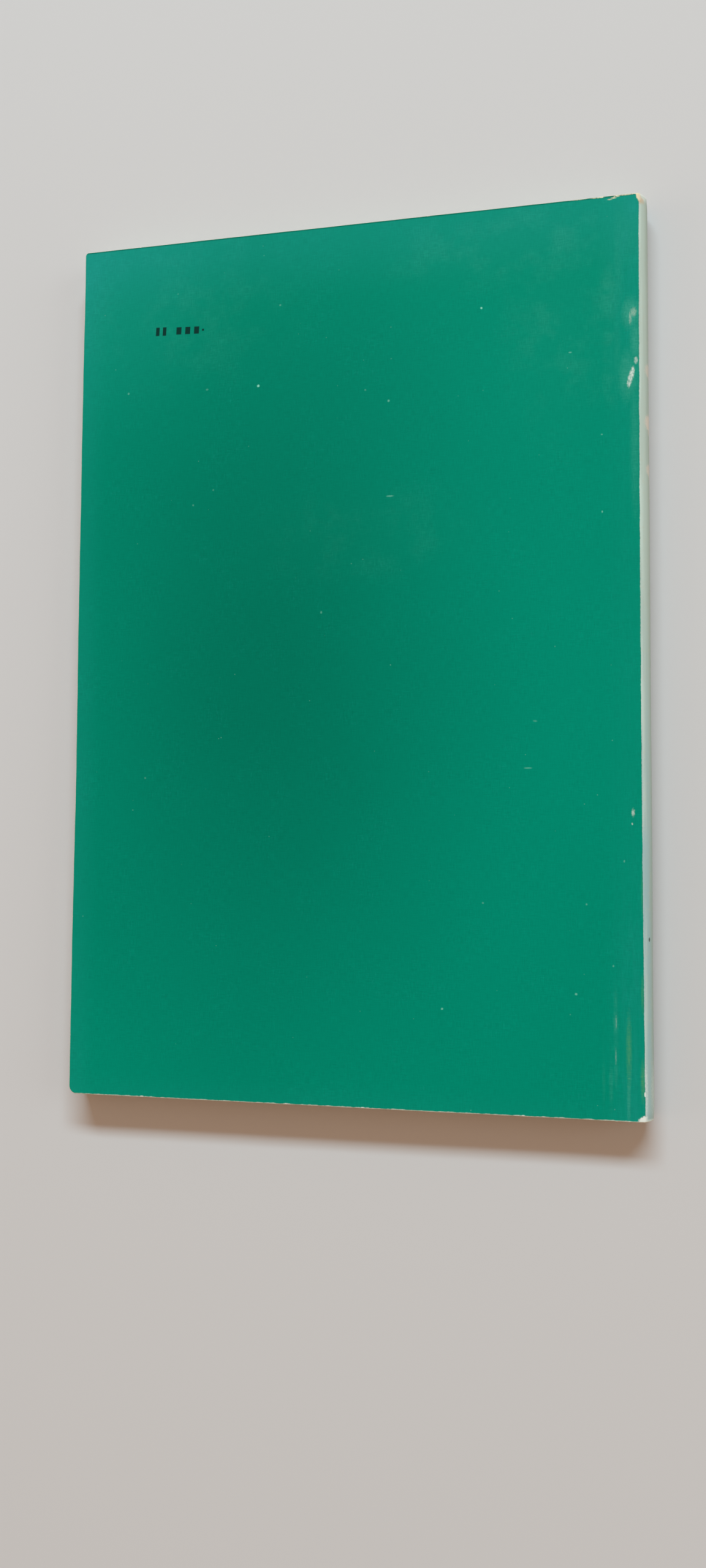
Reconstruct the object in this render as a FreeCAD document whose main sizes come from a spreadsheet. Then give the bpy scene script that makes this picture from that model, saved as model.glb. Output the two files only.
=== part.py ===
"""A thin paperback, lying closed with its back cover up, its spine towards +X and its head towards +Y.

The leaves are one solid with a rounded back, a film of glue lies round that back, and a sheet of card is wrapped
round both. The card is one sheet on the real book. Here it is three solids, divided at the two opening creases,
because each cover swings on the crease beside the spine. The origin is the middle of the face that it lies on.
"""

import FreeCAD, Part
import Sketcher
import math
import os

# Driving dimensions in millimetres
SIZES = {
    "book_height": 200,
    "cover_width": 130,
    "book_thickness": 7.5,
    "spine_bulge": 1.9,
    "card_thickness": 0.35,
    "spine_glue_thickness": 0.25,
    "side_glue_thickness": 0.1,
    "side_glue_width": 5.2,
    "crease_distance": 5.8,
    "crease_slit": 0.1,
    "head_corner_radius": 0.8,
    "tail_corner_radius": 1.9,
}

# Places worked out from those sizes. x is counted from the middle of the book, and z from half its thickness.
PLACES = {
    "fore_x": "-(Sizes.cover_width + Sizes.spine_bulge) / 2",
    "fold_x": "(Sizes.cover_width - Sizes.spine_bulge) / 2",
    "crease_x": "fold_x - Sizes.crease_distance",
    "panel_end_x": "crease_x - Sizes.crease_slit / 2",
    "strip_end_x": "crease_x + Sizes.crease_slit / 2",
    "glue_end_x": "fold_x - Sizes.side_glue_width",
    "outer_z": "Sizes.book_thickness / 2",
    "card_inner_z": "outer_z - Sizes.card_thickness",
    "glue_inner_z": "card_inner_z - Sizes.side_glue_thickness",
    "spine_radius": "(outer_z ^ 2 + Sizes.spine_bulge ^ 2) / (2 * Sizes.spine_bulge)",
    "card_inner_radius": "spine_radius - Sizes.card_thickness",
    "glue_inner_radius": "card_inner_radius - Sizes.spine_glue_thickness",
    "spine_centre_x": "fold_x + Sizes.spine_bulge - spine_radius",
    "card_inner_fold_x": "spine_centre_x + sqrt(card_inner_radius ^ 2 - card_inner_z ^ 2)",
    "glue_inner_fold_x": "spine_centre_x + sqrt(glue_inner_radius ^ 2 - glue_inner_z ^ 2)",
}

# How near an edge lies to the fore edge to count as part of it
NEAR = 0.001


def fill_sheet(doc, name, cells, lead=""):
    """A sheet with one named cell for each entry."""
    sheet = doc.addObject("Spreadsheet::Sheet", name)
    for row, (alias, content) in enumerate(cells.items(), start=1):
        sheet.set(f"A{row}", alias)
        sheet.set(f"B{row}", f"{lead}{content}")
        sheet.setAlias(f"B{row}", alias)
    doc.recompute()
    return sheet


def new_body(doc, name):
    """An empty body whose own z = 0 plane is half way through the book."""
    body = doc.addObject("PartDesign::Body", name)
    body.Label = name
    body.setExpression("Placement.Base.z", "Places.outer_z")
    return body


def pin(sketch, geometry, end, corner, point):
    """Ties one end of a line to a corner, given as the names of its x and z and the side of z."""
    x_name, z_name, side = corner
    along = sketch.addConstraint(Sketcher.Constraint("DistanceX", -1, 1, geometry, end, point.x))
    sketch.setExpression(f"Constraints[{along}]", f"Places.{x_name}")
    above = sketch.addConstraint(Sketcher.Constraint("DistanceY", -1, 1, geometry, end, point.y))
    sketch.setExpression(f"Constraints[{above}]", f"{side} * Places.{z_name}")


def draw_profile(body, places, corners, arcs):
    """A closed outline in the body's XZ plane.

    corners holds (x name, z name, side) in order, and arcs holds the name of the radius for each corner whose next
    stretch is an arc about the spine's centre. Every other stretch is a straight line.
    """
    sketch = body.newObject("Sketcher::SketchObject", f"{body.Name}_profile")
    plane = next(f for f in body.Origin.OriginFeatures if f.Role == "XZ_Plane")
    sketch.AttachmentSupport = (plane, [""])
    sketch.MapMode = "FlatFace"

    points = [FreeCAD.Vector(places.get(x), side * places.get(z), 0) for x, z, side in corners]
    centre = FreeCAD.Vector(places.get("spine_centre_x"), 0, 0)
    up = FreeCAD.Vector(0, 0, 1)
    start_of = {}
    end_of = {}
    for place, (here, there) in enumerate(zip(points, points[1:] + points[:1])):
        if place in arcs:
            circle = Part.Circle(centre, up, places.get(arcs[place]))
            reach = math.atan2(abs(here.y), here.x - centre.x)
            geometry = sketch.addGeometry(Part.ArcOfCircle(circle, -reach, reach))
            start_of[place], end_of[place] = (1, 2) if here.y < there.y else (2, 1)
        else:
            geometry = sketch.addGeometry(Part.LineSegment(here, there))
            start_of[place], end_of[place] = (1, 2)
        assert geometry == place

    count = len(corners)
    for place in range(count):
        after = (place + 1) % count
        sketch.addConstraint(
            Sketcher.Constraint("Coincident", place, end_of[place], after, start_of[after])
        )
    for place, corner in enumerate(corners):
        pin(sketch, place, start_of[place], corner, points[place])
    for place, radius_name in arcs.items():
        radius = sketch.addConstraint(Sketcher.Constraint("Radius", place, places.get(radius_name)))
        sketch.setExpression(f"Constraints[{radius}]", f"Places.{radius_name}")
    return sketch


def pad_along_spine(body, sketch):
    """The profile drawn out over the book's whole height, half to each side."""
    pad = body.newObject("PartDesign::Pad", f"{body.Name}_pad")
    pad.Profile = sketch
    pad.SideType = "Symmetric"
    pad.setExpression("Length", "Sizes.book_height")
    body.Document.recompute()
    return pad


def round_fore_corner(body, base, places, end, side):
    """Rounds the fore-edge corner of one end: the head for side 1, the tail for side -1."""
    fore_x = places.get("fore_x")

    def at_corner(edge):
        middle = edge.CenterOfMass
        upright = abs(edge.tangentAt(edge.FirstParameter).z) > 0.5
        return upright and middle.x < fore_x + NEAR and middle.y * side > 0

    edges = [f"Edge{n}" for n, edge in enumerate(base.Shape.Edges, start=1) if at_corner(edge)]
    fillet = body.newObject("PartDesign::Fillet", f"{body.Name}_{end}_corner")
    fillet.Base = (base, edges)
    fillet.setExpression("Radius", f"Sizes.{end}_corner_radius")
    body.Document.recompute()
    return fillet


def rounded_pad(body, places, sketch):
    """A padded profile whose fore-edge corners are worn round, at the head and at the tail."""
    shape = pad_along_spine(body, sketch)
    for end, side in (("head", 1), ("tail", -1)):
        shape = round_fore_corner(body, shape, places, end, side)
    body.Tip = shape


def make_page_block(doc, places):
    """The leaves, pressed a little thinner where the cover is glued to their sides."""
    body = new_body(doc, "page_block")
    corners = [
        ("fore_x", "card_inner_z", -1),
        ("glue_end_x", "card_inner_z", -1),
        ("glue_end_x", "glue_inner_z", -1),
        ("glue_inner_fold_x", "glue_inner_z", -1),
        ("glue_inner_fold_x", "glue_inner_z", 1),
        ("glue_end_x", "glue_inner_z", 1),
        ("glue_end_x", "card_inner_z", 1),
        ("fore_x", "card_inner_z", 1),
    ]
    sketch = draw_profile(body, places, corners, {3: "glue_inner_radius"})
    rounded_pad(body, places, sketch)
    return body


def make_spine_glue(doc, places):
    """The glue round the back of the leaves and a little way in over their sides."""
    body = new_body(doc, "spine_glue")
    corners = [
        ("glue_end_x", "card_inner_z", -1),
        ("card_inner_fold_x", "card_inner_z", -1),
        ("card_inner_fold_x", "card_inner_z", 1),
        ("glue_end_x", "card_inner_z", 1),
        ("glue_end_x", "glue_inner_z", 1),
        ("glue_inner_fold_x", "glue_inner_z", 1),
        ("glue_inner_fold_x", "glue_inner_z", -1),
        ("glue_end_x", "glue_inner_z", -1),
    ]
    arcs = {1: "card_inner_radius", 5: "glue_inner_radius"}
    body.Tip = pad_along_spine(body, draw_profile(body, places, corners, arcs))
    return body


def make_cover_spine(doc, places):
    """The card round the spine, with the strip that stays glued down on each side, as far as the crease."""
    body = new_body(doc, "cover_spine")
    corners = [
        ("strip_end_x", "outer_z", -1),
        ("fold_x", "outer_z", -1),
        ("fold_x", "outer_z", 1),
        ("strip_end_x", "outer_z", 1),
        ("strip_end_x", "card_inner_z", 1),
        ("card_inner_fold_x", "card_inner_z", 1),
        ("card_inner_fold_x", "card_inner_z", -1),
        ("strip_end_x", "card_inner_z", -1),
    ]
    arcs = {1: "spine_radius", 5: "card_inner_radius"}
    body.Tip = pad_along_spine(body, draw_profile(body, places, corners, arcs))
    return body


def make_cover(doc, places, name, side):
    """The free part of one cover, from its crease to the fore edge: the upper one for side 1."""
    body = new_body(doc, name)
    corners = [
        ("fore_x", "card_inner_z", side),
        ("panel_end_x", "card_inner_z", side),
        ("panel_end_x", "outer_z", side),
        ("fore_x", "outer_z", side),
    ]
    rounded_pad(body, places, draw_profile(body, places, corners, {}))
    return body


def check(doc, bodies):
    """Stops before anything is written if an object failed or a sub-part isn't one valid solid."""
    for item in doc.Objects:
        if {"Invalid", "Error"} & set(item.State):
            raise RuntimeError(f"{item.Name} failed: {item.State}")
    for body in bodies:
        shape = body.Shape
        if shape.isNull() or not shape.isValid() or len(shape.Solids) != 1:
            raise RuntimeError(f"{body.Label} isn't one valid solid")


def main():
    doc = FreeCAD.newDocument("paperback_book")
    fill_sheet(doc, "Sizes", SIZES)
    places = fill_sheet(doc, "Places", PLACES, lead="=")
    bodies = [
        make_page_block(doc, places),
        make_spine_glue(doc, places),
        make_cover_spine(doc, places),
        make_cover(doc, places, "back_cover", 1),
        make_cover(doc, places, "front_cover", -1),
    ]
    doc.recompute()
    check(doc, bodies)
    os.makedirs("parts", exist_ok=True)
    for body in bodies:
        body.Shape.exportStep(f"parts/{body.Label}.step")
        box = body.Shape.BoundBox
        print(
            f"{body.Label}: x {box.XMin:.3f} to {box.XMax:.3f}, y {box.YMin:.3f} to {box.YMax:.3f}, "
            f"z {box.ZMin:.3f} to {box.ZMax:.3f}, {body.Shape.Volume:.1f} cubic mm"
        )


main()
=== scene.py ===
"""A used paperback with a plain green cover, lying closed on its front cover with its spine to the right."""

import math
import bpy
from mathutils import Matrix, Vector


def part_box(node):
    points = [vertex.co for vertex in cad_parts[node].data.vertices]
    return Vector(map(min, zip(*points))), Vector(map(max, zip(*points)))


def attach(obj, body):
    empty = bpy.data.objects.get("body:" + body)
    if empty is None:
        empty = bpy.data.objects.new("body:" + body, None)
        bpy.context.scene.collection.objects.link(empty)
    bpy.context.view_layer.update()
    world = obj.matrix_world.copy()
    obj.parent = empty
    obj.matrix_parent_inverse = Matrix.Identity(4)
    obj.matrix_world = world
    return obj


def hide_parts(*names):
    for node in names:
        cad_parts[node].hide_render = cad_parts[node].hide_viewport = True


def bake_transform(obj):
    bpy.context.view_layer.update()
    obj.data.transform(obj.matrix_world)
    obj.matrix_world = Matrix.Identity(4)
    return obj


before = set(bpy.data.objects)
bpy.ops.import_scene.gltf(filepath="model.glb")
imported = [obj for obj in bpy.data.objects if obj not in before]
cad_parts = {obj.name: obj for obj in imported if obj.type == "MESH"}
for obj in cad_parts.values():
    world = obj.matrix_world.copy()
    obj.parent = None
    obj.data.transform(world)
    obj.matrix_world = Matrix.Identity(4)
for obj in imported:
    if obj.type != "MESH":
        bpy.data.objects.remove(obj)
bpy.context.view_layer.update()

from types import SimpleNamespace

import bpy
import numpy as np
from mathutils import Matrix, Vector

MM = 0.001
SHEET_MAP = "Sheet"

# Places taken from the frame
BACK_LOW, BACK_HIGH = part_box("back_cover")
SPINE_LOW, SPINE_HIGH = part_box("cover_spine")
THICKNESS = SPINE_HIGH[2] - SPINE_LOW[2]
HALF_HEIGHT = SPINE_HIGH[1]
CARD = BACK_HIGH[2] - BACK_LOW[2]
FORE_X = BACK_LOW[0]
CREASE_X = (BACK_HIGH[0] + SPINE_LOW[0]) / 2
MID_Z = THICKNESS / 2

# The two creases of the opened cover, counted from the fold beside the spine, and their depths
CREASE_TO_FOLD = 5.8 * MM
SECOND_CREASE = 3.2 * MM
CREASES = ((CREASE_TO_FOLD, 0.045 * MM), (SECOND_CREASE, 0.03 * MM))
CREASE_WIDTH = 0.22 * MM
FOLD_X = CREASE_X + CREASE_TO_FOLD

# Rounding that wear has given the folds, the fore-edge corners and the card's cut edge
FOLD_ROUNDING = 0.8 * MM
HEAD_CORNER = 0.8 * MM
TAIL_CORNER = 1.9 * MM
CORNERS = ((HEAD_CORNER, 1), (TAIL_CORNER, -1))
RIM_ROUNDING = 0.09 * MM

# The spine's arc, through both folds and the spine's outermost line
BULGE = SPINE_HIGH[0] - FOLD_X
SPINE_RADIUS = (MID_Z**2 + BULGE**2) / (2 * BULGE)
SPINE_CENTRE_X = SPINE_HIGH[0] - SPINE_RADIUS

# Where the spine's arc meets the rounding of the fold, and where that meets the flat cover
ROUNDING_X = SPINE_CENTRE_X + math.sqrt(
    (SPINE_RADIUS - FOLD_ROUNDING) ** 2 - (MID_Z - FOLD_ROUNDING) ** 2
)
ARC_ANGLE = math.atan2(MID_Z - FOLD_ROUNDING, ROUNDING_X - SPINE_CENTRE_X)
FOLD_ANGLE = math.acos((FOLD_X - ROUNDING_X) / FOLD_ROUNDING)
ARC_REACH = SPINE_RADIUS * ARC_ANGLE
FOLD_REACH = ARC_REACH + FOLD_ROUNDING * (FOLD_ANGLE - ARC_ANGLE)
FLAT_REACH = ARC_REACH + FOLD_ROUNDING * (math.pi / 2 - ARC_ANGLE)
FORE_REACH = FLAT_REACH + ROUNDING_X - FORE_X

# How much the cut edges wander, always inwards, and how much the card is cockled, dented or knocked in
FORE_WANDER = 0.04 * MM
END_WANDER = 0.03 * MM
SPINE_END_WANDER = 0.05 * MM
WANDER_ZONE = 6 * MM
SPINE_WANDER_ZONE = 2 * MM
COCKLE_WAVES = 7
COVER_SAG = 0.07 * MM
SPINE_DENT = 0.06 * MM
KNOCKED_END = 0.12 * MM

# Shallow hollows of the trimmed fore edge: depth, middle and half width
FORE_HOLLOWS = ((0.17 * MM, -29 * MM, 27 * MM), (0.06 * MM, 88 * MM, 14 * MM))

# Glue between the card and the leaves
GLUE_SPINE = 0.25 * MM
GLUE_SIDE = 0.1 * MM
GLUE_WIDTH = 5.2 * MM
GLUE_CLEARANCE = 0.01 * MM
GLUE_SHORT = 0.22 * MM
GLUE_WANDER = 0.1 * MM

# Leaves: the room left for the covers' sag, the gap to the glue, the groove between two leaves, the part of a
# leaf's thickness that its ridge takes up, and how far in each leaf lies, the few loose ones further
LEAF_COUNT = 78
SAG_ROOM = 0.09 * MM
LEAF_GAP = 0.02 * MM
LEAF_GROOVE = 0.045 * MM
LEAF_WAVE = 0.05 * MM
RIDGE = (0.78, 0.22)
INSET_MM = (0.03, 0.1)
LOOSE_SHARE = 0.07
LOOSE_INSET_MM = (0, 0.12)

# How far apart the lines of the meshes lie near an edge, and how far in that goes on
EDGE_STEP = 0.3 * MM
EDGE_ZONE = 3 * MM
SHARP_ANGLE = math.radians(50)
TINY = 1e-9

# Seeds of each piece's own random wander
BACK_SEED = 11
FRONT_SEED = 21
SPINE_SEED = 31
SPINE_DENT_SEED = 33
GLUE_SEED = 41
LEAF_SEED = 53
INSET_SEED = 7

# The photograph's camera. Its places are in millimetres from the middle of the back cover's printed side.
CAMERA_STAND = (66.19, -46.35, 276.17)
CAMERA_AIM = (2.06, -28.77, 0)
CAMERA_ROLL = math.radians(0.38)
CAMERA_LENS = 29.25
CAMERA_SENSOR = 36
NEAREST = 0.01

# Lamps that face the book: name, azimuth from +Y towards +X and elevation in degrees, width and height in
# metres, power and colour
LAMP_DISTANCE = 2.6
LAMPS = [
    ("window", 5, 39.5, 2.0, 0.4, 80.5, (0.66, 0.9, 1.0)),
    ("right_fill", 80, 28, 1.2, 1.2, 8, (0.85, 1.0, 1.0)),
    ("left_fill", 262, 24, 1.2, 1.2, 5, (0.95, 1.0, 1.0)),
]
ROOM_COLOUR = (1.0, 0.62, 0.37, 1)
ROOM_STRENGTH = 0.46
FLOOR_HALF = 1.6
FLOOR_CLEARANCE = 0.05 * MM


# Small helpers for shapes


def ripple(at, seed, wavelengths):
    """A smooth wander between about -1 and 1 along a line, the same each run."""
    chance = np.random.RandomState(seed)
    total = np.zeros_like(at, dtype=float)
    for wavelength in wavelengths:
        total += np.sin(2 * math.pi * at / wavelength + chance.uniform(0, 2 * math.pi))
    return total / len(wavelengths)


def cockle(x, y, seed, wavelength):
    """A smooth wander between about 0 and 1 over a surface, made of waves that run all ways."""
    chance = np.random.RandomState(seed)
    total = np.zeros_like(x, dtype=float)
    for _ in range(COCKLE_WAVES):
        turn = chance.uniform(0, math.pi)
        length = wavelength * chance.uniform(0.7, 1.6)
        phase = chance.uniform(0, 2 * math.pi)
        total += np.sin(2 * math.pi * (x * math.cos(turn) + y * math.sin(turn)) / length + phase)
    return np.clip(0.5 + total / COCKLE_WAVES, 0, 1)


def hollow(distance, width):
    """1 in the middle of a hollow, fading to 0 on both sides."""
    return np.exp(-((distance / width) ** 2))


def fading(distance, zone):
    """1 at an edge, down to 0 at the end of a zone beside it."""
    return np.clip(1 - distance / zone, 0, 1)


def growing(distance, zone):
    """0 at an edge, up to 1 at the end of a zone beside it."""
    return np.clip(distance / zone, 0, 1)


def trimmed_in(y):
    """How far the trimmed fore edge lies in at a place along it, on the cover and on the leaves alike."""
    return sum(depth * hollow(y - middle, half) for depth, middle, half in FORE_HOLLOWS)


def spaced(*stretches):
    """Lines from (start, end, step) stretches that follow each other, with every shared end once."""
    lines = [stretches[0][0]]
    for start, end, step in stretches:
        count = max(1, round(abs(end - start) / step))
        lines += [start + (end - start) * n / count for n in range(1, count + 1)]
    return np.array(lines)


def from_tail_to_head(end, step):
    """Lines from -end to end, closer together near both."""
    inner = end - EDGE_ZONE
    return spaced((-end, -inner, EDGE_STEP), (-inner, inner, step), (inner, end, EDGE_STEP))


def on_wrap(reach, depth):
    """x and z of a point of the cover.

    reach is its way round from the middle of the spine, up over the back cover if it is positive. depth is
    how far it lies in from the outside.
    """
    way = np.abs(reach)
    on_arc = way < ARC_REACH
    past_arc = np.minimum(ARC_ANGLE + (way - ARC_REACH) / FOLD_ROUNDING, math.pi / 2)
    angle = np.where(on_arc, way / SPINE_RADIUS, past_arc)
    radius = np.where(on_arc, SPINE_RADIUS, FOLD_ROUNDING) - depth
    centre_x = np.where(on_arc, SPINE_CENTRE_X, ROUNDING_X)
    centre_z = np.where(on_arc, 0.0, MID_Z - FOLD_ROUNDING)
    flat = np.maximum(way - FLAT_REACH, 0)
    x = centre_x + radius * np.cos(angle) - flat
    z = centre_z + radius * np.sin(angle)
    return x, MID_Z + np.where(reach < 0, -z, z)


def round_corner(across, along, radius):
    """Bends the square corner of a grid to a round one. across and along start at the corner's centre."""
    a = np.clip(across / radius, 0, 1)
    b = np.clip(along / radius, 0, 1)
    inside = (across > 0) & (along > 0)
    new_across = np.where(inside, radius * a * np.sqrt(1 - b * b / 2), across)
    new_along = np.where(inside, radius * b * np.sqrt(1 - a * a / 2), along)
    return new_across, new_along


def rim_of(count_a, count_b):
    """Index pairs round the edge of a grid, as two arrays."""
    pairs = [(a, 0) for a in range(count_a - 1)]
    pairs += [(count_a - 1, b) for b in range(count_b - 1)]
    pairs += [(a, count_b - 1) for a in range(count_a - 1, 0, -1)]
    pairs += [(0, b) for b in range(count_b - 1, 0, -1)]
    pairs = np.array(pairs)
    return pairs[:, 0], pairs[:, 1]


def new_mesh(name, points, faces, face_slots, materials, sheet=None):
    """A smooth-shaded mesh object. sheet holds each point's place on the unrolled sheet in millimetres."""
    mesh = bpy.data.meshes.new(name)
    mesh.from_pydata(points.tolist(), [], faces.tolist())
    for material in materials:
        mesh.materials.append(material)
    mesh.polygons.foreach_set("material_index", face_slots)
    mesh.shade_smooth()
    if sheet is not None:
        layer = mesh.uv_layers.new(name=SHEET_MAP)
        corners = np.empty(len(mesh.loops), dtype=np.int32)
        mesh.loops.foreach_get("vertex_index", corners)
        layer.data.foreach_set("uv", sheet[corners].astype(np.float32).ravel())
    mesh.validate()
    mesh.update()
    mesh.set_sharp_from_angle(angle=SHARP_ANGLE)
    item = bpy.data.objects.new(name, mesh)
    bpy.context.scene.collection.objects.link(item)
    return item


def closed_layers(layers, count_a, count_b):
    """Faces of a closed solid: a full grid, then rings round its rim, then a full grid again.

    layers is the number of rings between the two grids. Points come grid first, then the rings, then the last
    grid. Each face's kind is 0 on the first grid, 1 on the rings and 2 on the last grid.
    """
    grid = np.arange(count_a * count_b).reshape(count_a, count_b)
    a = grid[:-1, :-1].ravel()
    b = grid[1:, :-1].ravel()
    c = grid[1:, 1:].ravel()
    d = grid[:-1, 1:].ravel()
    first = np.stack([a, b, c, d], axis=1)
    rim = grid[rim_of(count_a, count_b)]
    ring = len(rim)
    last_start = count_a * count_b + layers * ring
    last = first[:, ::-1] + last_start
    rings = [rim]
    rings += [count_a * count_b + n * ring + np.arange(ring) for n in range(layers)]
    rings += [rim + last_start]
    walls = []
    for upper, lower in zip(rings, rings[1:]):
        walls.append(np.stack([upper, lower, np.roll(lower, -1), np.roll(upper, -1)], axis=1))
    faces = np.concatenate([first, *walls, last])
    kinds = np.repeat([0, 1, 2], [len(first), len(walls) * ring, len(last)]).astype(np.int32)
    return faces, kinds


# Nodes for the materials


class Look:
    """One material, with short calls for the nodes that it is made of."""

    def __init__(self, name):
        self.material = bpy.data.materials.new(name)
        self.material.use_nodes = True
        self.tree = self.material.node_tree
        self.shader = self.tree.nodes["Principled BSDF"]

    def feed(self, socket, value):
        """Links a value that is another node's output, or sets a plain one."""
        if isinstance(value, bpy.types.NodeSocket):
            self.tree.links.new(value, socket)
        else:
            socket.default_value = value

    def node(self, kind, inputs=(), **settings):
        made = self.tree.nodes.new(kind)
        for key, value in settings.items():
            setattr(made, key, value)
        for key, value in dict(inputs).items():
            self.feed(made.inputs[key], value)
        return made

    def math(self, operation, *terms, clamp=False):
        made = self.node("ShaderNodeMath", dict(enumerate(terms)), operation=operation)
        made.use_clamp = clamp
        return made.outputs[0]

    def sum(self, first, *more):
        for term in more:
            first = self.math("ADD", first, term)
        return first

    def less(self, first, second):
        return self.math("SUBTRACT", first, second)

    def times(self, first, second, clamp=False):
        return self.math("MULTIPLY", first, second, clamp=clamp)

    def scaled(self, value, factor, start, clamp=False):
        """A value times a factor, counted from a start."""
        return self.math("MULTIPLY_ADD", value, factor, start, clamp=clamp)

    def swing(self, value, span):
        """A value from 0 to 1 spread evenly round 0, over a span."""
        return self.times(self.less(value, 0.5), span)

    def absolute(self, value):
        return self.math("ABSOLUTE", value)

    def most(self, first, *more):
        for term in more:
            first = self.math("MAXIMUM", first, term)
        return first

    def step(self, value, low, high):
        """0 where value is low, 1 where it is high, either way round."""
        inputs = {0: value, 1: low, 2: high, 3: 0.0, 4: 1.0}
        return self.node("ShaderNodeMapRange", inputs, interpolation_type="SMOOTHSTEP").outputs[0]

    def mix(self, share, first, second):
        inputs = {0: share, 6: first, 7: second}
        return self.node("ShaderNodeMix", inputs, data_type="RGBA").outputs[2]

    def place(self, x, y, z=0.0):
        return self.node("ShaderNodeCombineXYZ", {0: x, 1: y, 2: z}).outputs[0]

    def split(self, vector):
        return self.node("ShaderNodeSeparateXYZ", {0: vector}).outputs

    def noise(self, vector, scale, detail=2.0, roughness=0.5):
        inputs = {"Vector": vector, "Scale": scale, "Detail": detail, "Roughness": roughness}
        return self.node("ShaderNodeTexNoise", inputs).outputs[0]

    def stretched(self, x, y, scale_x, scale_y, detail=2.0, lift=0.0):
        """Noise whose grain is drawn out: the larger scale is across it. lift picks another pattern."""
        return self.noise(self.place(self.times(x, scale_x), self.times(y, scale_y), lift), 1.0, detail)

    def bump(self, height, distance, strength=1.0):
        inputs = {"Height": height, "Distance": distance, "Strength": strength}
        return self.node("ShaderNodeBump", inputs).outputs["Normal"]

    def finish(self, colour, roughness, normal=None, *, specular):
        self.feed(self.shader.inputs["Base Color"], colour)
        self.feed(self.shader.inputs["Roughness"], roughness)
        self.shader.inputs["Specular IOR Level"].default_value = specular
        if normal is not None:
            self.feed(self.shader.inputs["Normal"], normal)
        return self.material


def paint(red, green, blue):
    """A colour given as it looks on a screen, from 0 to 255, as the linear one that a node takes."""
    linear = []
    for part in (red, green, blue):
        part = part / 255
        linear.append(part / 12.92 if part <= 0.04045 else ((part + 0.055) / 1.055) ** 2.4)
    return (*linear, 1.0)


# Printed side of the cover, on the unrolled sheet. u is in millimetres from the back cover's fold, less than
# 0 over the back cover, and v is in millimetres from the middle of the book's height, up to the head. Wear is
# given for the back cover. The front cover has the same wear the other way up.

SPINE_WIDTH_MM = 2 * FOLD_REACH / MM
HALF_HEIGHT_MM = HALF_HEIGHT / MM
COVER_WIDTH_MM = (FOLD_X - FORE_X) / MM

# The ink in painted shade and in painted light; the tone runs from the first to the second away from the
# middle of the back cover
GREEN_PAINTED_SHADE = paint(0, 113, 90)
GREEN_PAINTED_LIT = paint(0, 135, 110)
# Greyer ink, for rubbed places and for painted sheen
GREEN_RUBBED_AND_SHEEN = paint(28, 144, 132)
GREEN_DARK = paint(0, 78, 62)
GREEN_YELLOWED = paint(92, 156, 92)
GREEN_HAZE = paint(84, 172, 150)
BARE_CARD = paint(224, 228, 222)
BARE_TANNED = paint(226, 209, 178)
SPECK = paint(140, 210, 188)
SPINE_CARD = paint(181, 196, 187)
# Greyer bare card, for grime and for painted shade on the spine
SPINE_GRIME_AND_SHADE = paint(166, 180, 170)
SPINE_WORN = paint(198, 214, 206)
SPINE_BLUISH = paint(158, 185, 186)
SPINE_TANNED = paint(190, 190, 172)
SPINE_PEELED = paint(214, 202, 190)
STAIN = paint(204, 158, 114)
DIRT = paint(62, 66, 58)
PRINT_BLACK = paint(14, 52, 46)

# The other colours, each with the one that it is mixed with
CUT_EDGE = (paint(214, 210, 192), paint(190, 182, 158))
INSIDE = (paint(228, 223, 208), paint(218, 211, 192))
LEAF_EDGES = (paint(202, 184, 150), paint(236, 224, 198))
LEAF_FACE = (paint(214, 198, 164), paint(232, 224, 204))
GLUE = (paint(168, 138, 92), paint(214, 192, 148))
TABLE = paint(202, 199, 200)

# Each spot of wear is u, v, half width, half height and strength. These are rubbed through to the card.
BARE_SPOTS = [
    (-1.4, 60.4, 0.32, 0.8, 0.95),
    (-1.7, 59.6, 0.42, 0.9, 1.0),
    (-2.0, 58.7, 0.42, 0.9, 0.9),
    (-2.3, 57.7, 0.34, 0.8, 0.75),
    (-0.75, 62.7, 0.35, 0.7, 0.6),
    (-1.2, 73.4, 0.6, 0.9, 0.32),
    (-1.9, 72.2, 0.25, 1.3, 0.34),
    (-2.0, -35.3, 0.3, 0.75, 0.55),
    (-2.2, -37.7, 0.15, 0.22, 0.7),
    (-5.8, -79.4, 0.12, 1.2, 0.2),
    (-5.9, -86.6, 0.12, 1.4, 0.22),
    (-6.1, 99.15, 0.45, 0.13, 0.9),
    (-5.3, 99.4, 0.55, 0.17, 1.0),
    (-4.6, 99.7, 0.6, 0.17, 1.0),
    (-2.6, 99.85, 1.7, 0.14, 0.9),
    (-8.6, 99.8, 1.3, 0.12, 0.8),
    (-12.8, 99.85, 1.6, 0.1, 0.6),
]

# Places where the ink has gone from the very edge of the cover, or from the fold
CHIPS = [
    (0.05, -94.2, 0.16, 0.5, 0.9),
    (0.2, -99.9, 1.5, 1.2, 1.0),
    (0.25, 100.0, 0.75, 1.7, 1.0),
    (-25.3, -100.0, 0.5, 0.32, 0.8),
    (-60.3, -100.0, 0.5, 0.32, 0.8),
    (-77.8, -100.0, 0.4, 0.28, 0.8),
    (-112.0, -100.0, 0.6, 0.34, 0.8),
]

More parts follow.
